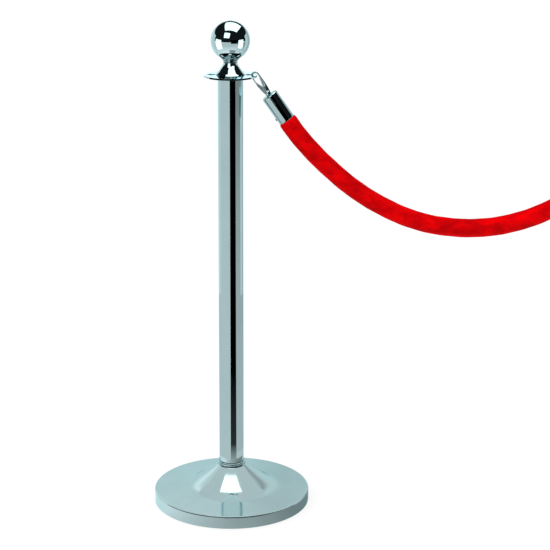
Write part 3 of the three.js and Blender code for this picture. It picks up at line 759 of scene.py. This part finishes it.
make_camera()
velvet_material = velvet()
cotton_material = cotton()
polished = chrome("chrome_polished", 0.00002, (300, 300, 300))
drawn = chrome("chrome_drawn_tube", 0.00003, (2600, 2600, 40))
spun = chrome("chrome_spun", 0.00006, (500, 500, 900), sharpest=0.07, softest=0.11)
steel = zinc_steel()
iron = cast_iron()
black_rubber = rubber()

rope, rope_centre, rope_length = velvet_rope()
finished(rope, "rope", velvet_material, "velvet_sleeve")

# The inner pieces keep their CAD shapes.
KEPT = {
    "floor_ring": black_rubber, "base_weight": iron, "base_washer": steel, "tie_bolt": steel,
    "bottom_plug": steel, "top_plug": steel, "ball_boss": steel, "head_stud": steel,
    "near_swivel_washer": steel, "far_swivel_washer": steel,
    "near_swivel_pivot": steel, "far_swivel_pivot": steel, "rope_core": cotton_material,
}
for node_name, material in KEPT.items():
    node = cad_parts[node_name]
    node.data.materials.clear()
    node.data.materials.append(material)

POST_MAKERS = {
    "base_cover": (base_cover, spun), "foot_collar": (foot_collar, polished),
    "post_tube": (post_tube, drawn), "crown_plate": (crown_plate, polished),
    "bell": (bell, polished), "ball_cup": (ball_cup, polished), "finial_ball": (finial_ball, polished),
}
post = {}
for node_name, (maker, material) in POST_MAKERS.items():
    post[node_name] = finished(maker(), "post", material, node_name)

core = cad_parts["rope_core"]
on_rope, fittings, hooks = [core], [], []
for end, place in (("near", NEAR), ("far", FAR)):
    in_hook, in_gate = end + "_hook", end + "_gate"
    shell = finished(moved(ferrule(end), place), "rope", polished, end + "_ferrule")
    screw = finished(moved(set_screw(end), place), "rope", steel, end + "_set_screw")
    hook = finished(moved(hook_body(end), place), in_hook, polished, end + "_hook_body")
    rivet = finished(moved(gate_rivet(end), place), in_hook, steel, end + "_gate_rivet")
    leaf = finished(moved(gate(end), place), in_gate, polished, end + "_gate")
    spring = dressed(moved(gate_spring(end), place), steel, end + "_gate_spring")
    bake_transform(spring)
    inner = [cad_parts[f"{end}_swivel_{part}"] for part in ("washer", "pivot")]
    fittings += [shell, hook, leaf]
    hooks += [hook, leaf]
    on_rope += [shell, screw, hook, rivet, leaf, spring, *inner]

# The chrome doesn't mirror the rope.
rope.visible_glossy = False
core.visible_glossy = False


# ------------------------------------------------------------------ stage

def glow(name, radiance, fade=None):
    """Plain light. fade holds a near and a far radius from the post's axis, and the far one's radiance."""
    material = bpy.data.materials.new(name)
    material.use_nodes = True
    tree = material.node_tree
    tree.nodes.clear()
    lit = tree.nodes.new("ShaderNodeEmission")
    lit.inputs["Strength"].default_value = radiance
    if fade:
        near, far, last = fade
        place = tree.nodes.new("ShaderNodeTexCoord")
        away = tree.nodes.new("ShaderNodeVectorMath")
        away.operation = "LENGTH"
        spread = tree.nodes.new("ShaderNodeMapRange")
        limits = {"From Min": near, "From Max": far, "To Min": radiance, "To Max": last}
        for socket, number in limits.items():
            spread.inputs[socket].default_value = number
        tree.links.new(place.outputs["Object"], away.inputs[0])
        tree.links.new(away.outputs["Value"], spread.inputs["Value"])
        tree.links.new(spread.outputs["Result"], lit.inputs["Strength"])
    out = tree.nodes.new("ShaderNodeOutputMaterial")
    tree.links.new(lit.outputs[0], out.inputs["Surface"])
    return material


def seen_by(obj, camera=False, glossy=False, diffuse=False):
    """Hides a piece of the stage from all rays but these."""
    obj.visible_camera = camera
    obj.visible_glossy = glossy
    obj.visible_diffuse = diffuse
    obj.visible_transmission = False
    obj.visible_volume_scatter = False
    obj.visible_shadow = False


def only_for(lamp, receivers):
    """The lamp or card lights these pieces alone. A card still hides what is behind it from the others."""
    group = bpy.data.collections.new(lamp.name + "_on")
    for piece in receivers:
        group.objects.link(piece)
    lamp.light_linking.receiver_collection = group


def card(name, corners, radiance, fade=None, receivers=None, levels=None):
    """A studio card, given as rows of points, that only reflections see. levels: a factor per column."""
    columns = len(corners[0])
    mesh = bpy.data.meshes.new(name)
    points = [p for row in corners for p in row]
    faces = []
    for i in range(len(corners) - 1):
        for k in range(columns - 1):
            corner = i * columns + k
            faces.append((corner, corner + 1, corner + columns + 1, corner + columns))
    mesh.from_pydata(points, [], faces)
    material = glow(name, radiance, fade)
    mesh.materials.append(material)
    if levels is not None:
        attribute = mesh.attributes.new("level", "FLOAT", "POINT")
        attribute.data.foreach_set("value", [level * radiance for level in levels] * len(corners))
        tree = material.node_tree
        level = tree.nodes.new("ShaderNodeAttribute")
        level.attribute_name = "level"
        tree.links.new(level.outputs["Fac"], tree.nodes["Emission"].inputs["Strength"])
    obj = add_object(name, mesh)
    seen_by(obj, glossy=True)
    if receivers:
        only_for(obj, receivers)


def bearing_point(radius, angle, z):
    """A point at an angle round the post from the camera's side (-Y)."""
    return (radius * math.sin(angle), -radius * math.cos(angle), z)


def bearings(start, end, steps):
    """Evenly spaced angles, in radians, between two bearings in degrees."""
    return [math.radians(start + (end - start) * k / steps) for k in range(steps + 1)]


def round_wall(radius, start, end, bottom, top, steps):
    """Rows of points on an upright cylinder, between two bearings in degrees."""
    angles = bearings(start, end, steps)
    return [[bearing_point(radius, a, z) for a in angles] for z in (bottom, top)]


def floor_sector(start, end, near, far, height=0.0004, steps=32):
    """Rows of points on the floor between two bearings in degrees and two radii."""
    angles = bearings(start, end, steps)
    return [[bearing_point(radius, a, height) for a in angles] for radius in (near, far)]


def mirrored(r, bearing, height):
    """Where the camera's ray to the cover, at radius r (mm) and a bearing (degrees), reaches a height."""
    a, step = math.radians(bearing), 0.05
    point = Vector(bearing_point(r, a, cover_height(r))) * MM
    fall = cover_height(r - step) - cover_height(r + step)
    normal = Vector(bearing_point(fall, a, 2 * step)).normalized()
    ray = (point - CAMERA_PLACE).normalized().reflect(normal)
    return tuple(point + ray * ((height - point.z) / ray.z))


def softbox(name, place, size, radiance, receivers, aim=None, colour=(1, 1, 1), shape="RECTANGLE", turn=0):
    """A lamp of even radiance for these pieces alone. It faces down unless it is aimed."""
    width, depth = size
    target = aim or (place[0], place[1], 0)
    data = bpy.data.lights.new(name, "AREA")
    data.shape = shape
    data.size, data.size_y = width, depth
    data.energy = radiance * math.pi * width * depth
    data.color = colour
    lamp = add_object(name, data)
    look = (Vector(target) - Vector(place)).to_track_quat("-Z", "Y").to_matrix().to_4x4()
    lamp.matrix_world = Matrix.Translation(place) @ look @ Matrix.Rotation(turn, 4, "Z")
    lamp.visible_camera = False
    only_for(lamp, receivers)


FLOOR_RADIUS = 24.0
FLOOR_GLOW = 0.86
FLOOR_SIDES = 96


def disc(name, height):
    """A flat round floor that belongs to the stage."""
    mesh = bpy.data.meshes.new(name)
    turns = [math.tau * k / FLOOR_SIDES for k in range(FLOOR_SIDES)]
    ring = [(FLOOR_RADIUS * math.cos(a), FLOOR_RADIUS * math.sin(a), height) for a in turns]
    mesh.from_pydata(ring, [], [tuple(range(FLOOR_SIDES))])
    obj = add_object(name, mesh)
    return obj


# One floor is for the camera and takes the soft shadow. The pieces mirror the other, just under it.
floor = disc("studio_floor", 0)
pale = Nodes("pale_floor")
floor.data.materials.append(pale.set(
    Base_Color=(0.22, 0.22, 0.22), Roughness=1.0, Specular_IOR_Level=0.0,
    Emission_Color=(1, 1, 1), Emission_Strength=0.80))
seen_by(floor, camera=True)
mirror_floor = disc("mirrored_floor", -0.0005)
mirror_floor.data.materials.append(glow("floor_glow", FLOOR_GLOW))
seen_by(mirror_floor, glossy=True, diffuse=True)

dome = [(FLOOR_RADIUS, -0.01), *arc(0, 0, FLOOR_RADIUS, 10, 80, 8), (0, FLOOR_RADIUS)]
backdrop = turned("studio_backdrop", dome, 64, closed=False)
backdrop.data.materials.append(glow("backdrop_white", 1.0))
seen_by(backdrop, camera=True)

cover, column, plate = post["base_cover"], post["post_tube"], post["crown_plate"]
bell_piece, cup, ball = post["bell"], post["ball_cup"], post["finial_ball"]
head = [plate, bell_piece, cup, ball, *fittings]

# These pieces see the dark floor as pale as the rest of it.
softly_lit = [cover, ball, bell_piece]

# Behind the post, a wall with one dark band, one bright band and one weak dark band.
WALL_START, WALL_END, WALL_STEPS = 100, 260, 160
turns = np.linspace(WALL_START, WALL_END, WALL_STEPS + 1)


def band(middle, width, height):
    return height * np.exp(-(((turns - middle) / width) ** 2))


wall_levels = 0.95 - band(134, 9, 0.42) + band(221, 8, 0.36) - band(172, 6, 0.16)
card("wall_behind", round_wall(1.5, WALL_START, WALL_END, 0.0, 1.42, WALL_STEPS), 1.0, levels=wall_levels)

# Round the skirt, a ring of floor that darkens from left to right.
skirt_levels = np.interp(np.linspace(-120, 120, 61), (-62, -29, 0, 60), (1.15, 0.83, 0.60, 0.35))
card("skirt_floor", floor_sector(-120, 120, 0.161, 0.26, 0.0006, 60), 1.0, levels=skirt_levels)

# The tube's black stripe mirrors a dark part of the room, which turns grey and then pale near the post.
DARK_START, DARK_END, DARK_FAR = -6, 47, 6.0
STRIPE_PALE_R, STRIPE_FADE_R, STRIPE_GREY_R, STRIPE_BLACK_R = 0.19, 0.22, 0.35, 0.85
card("dark_floor", floor_sector(DARK_START, DARK_END, STRIPE_BLACK_R, DARK_FAR), FLOOR_GLOW,
     receivers=softly_lit)
card("dark_floor_dim", floor_sector(DARK_START, DARK_END, STRIPE_GREY_R, STRIPE_BLACK_R), 0.042,
     fade=(STRIPE_GREY_R, STRIPE_BLACK_R, 0.001))
card("dark_floor_start", floor_sector(DARK_START, DARK_END, STRIPE_PALE_R, STRIPE_GREY_R), 0.72,
     fade=(STRIPE_FADE_R, STRIPE_GREY_R, 0.05))
card("dark_far", round_wall(5.0, 5, DARK_END, 0.001, 1.8, 12), 0.0)

# Beside it, the floor on the right darkens away from the post.
GREY_END, GREY_NEAR, GREY_FAR = 172, 0.3, 8.0
card("grey_floor", floor_sector(DARK_END, GREY_END, GREY_NEAR, GREY_FAR), 0.74, fade=(GREY_NEAR, 4.6, 0.36))

# A window that shows on the front of the flare as a bright patch, wider towards the rim.
PATCH_INNER_R, PATCH_OUTER_R, PATCH_LEFT, PATCH_RIGHT, PATCH_SPREAD = 43, 74.8, -17.2, 13.8, 4.2
PATCH_ROWS, PATCH_COLUMNS, WINDOW_HEIGHT = 12, 16, 3.0
rows = []
for k in range(PATCH_ROWS + 1):
    r = PATCH_INNER_R + (PATCH_OUTER_R - PATCH_INNER_R) * k / PATCH_ROWS
    across = PATCH_RIGHT + PATCH_SPREAD * k / PATCH_ROWS - PATCH_LEFT
    patch_bearings = [PATCH_LEFT + across * i / PATCH_COLUMNS for i in range(PATCH_COLUMNS + 1)]
    rows.append([mirrored(r, bearing, WINDOW_HEIGHT) for bearing in patch_bearings])
card("flank_window", rows, 2.0, receivers=[cover])

# The bell, the tube, the hooks, the crown plate, the ball and the base have lamps of their own.
PINK, WARM = (1, 0.81, 0.79), (1, 0.82, 0.80)
softbox("overhead", (0.25, 0.49, 2.2), (1.49, 1.98), 2.25, [bell_piece, ball, *fittings],
        turn=math.radians(-6))
softbox("bell_front", (0.5, -0.78, 2.2), (1.8, 0.66), 2.25, [bell_piece])
softbox("tube_fill", (0, -1, 2.4), (12, 12), 1.8, [column], colour=PINK)
softbox("tube_left", (-6.3, -4.9, 1.8), (16, 3.4), 0.80, [column], aim=(0, 0, 1.8))
softbox("tube_right", (7.7, -2.2, 1.8), (8, 3.4), 0.50, [column], aim=(0, 0, 1.8))
softbox("hook_floor", (0.2, -3, 0.02), (2.4, 4.0), 0.36, hooks, aim=(0.2, -3, 1))
softbox("plate_back", (0, 1.3, 1.27), (2.6, 0.9), 0.8, [plate], aim=(0, 0, 1.27), colour=WARM)
softbox("window", (-0.45, -1.11, 1.86), (0.86, 0.80), 2.2, head, aim=(0, 0, BALL_Z * MM))
softbox("side_left", (-1.14, -0.37, 0.58), (0.86, 1.08), 1.9, [ball], aim=(0, 0, 0.6))
softbox("side_right", (1.1, -0.49, 0.62), (0.70, 1.0), 1.9, [ball], aim=(0, 0, 0.6))
for k, width in enumerate((0.8, 1.4, 2.2, 3.4)):
    place = (0, -0.1, 0.02 + 0.01 * k)
    softbox(f"ball_floor_{k}", place, (width, width), 0.11, [ball], aim=(0, -0.1, 1), shape="DISK")
softbox("base_fill", (0, 3.15, 2.4), (12, 8), 0.84, [cover])
softbox("base_front", (0, -4.85, 2.4), (12, 8), 0.2, [cover])

# A wide soft sky lights the rope and the floor, and no reflection sees it.
sun = bpy.data.lights.new("sky", "SUN")
sun.energy = 3.5
sun.angle = math.radians(120)
sky = add_object("sky", sun)
sky.rotation_euler = (math.radians(18), math.radians(-14), 0)
sky.visible_camera = False
sky.visible_glossy = False

ROOM_DARK = (0.012, 0.013, 0.014, 1)
world = bpy.data.worlds.new("studio")
world.use_nodes = True
world.node_tree.nodes["Background"].inputs["Color"].default_value = ROOM_DARK
bpy.context.scene.world = world
bpy.context.scene.view_settings.view_transform = "Standard"
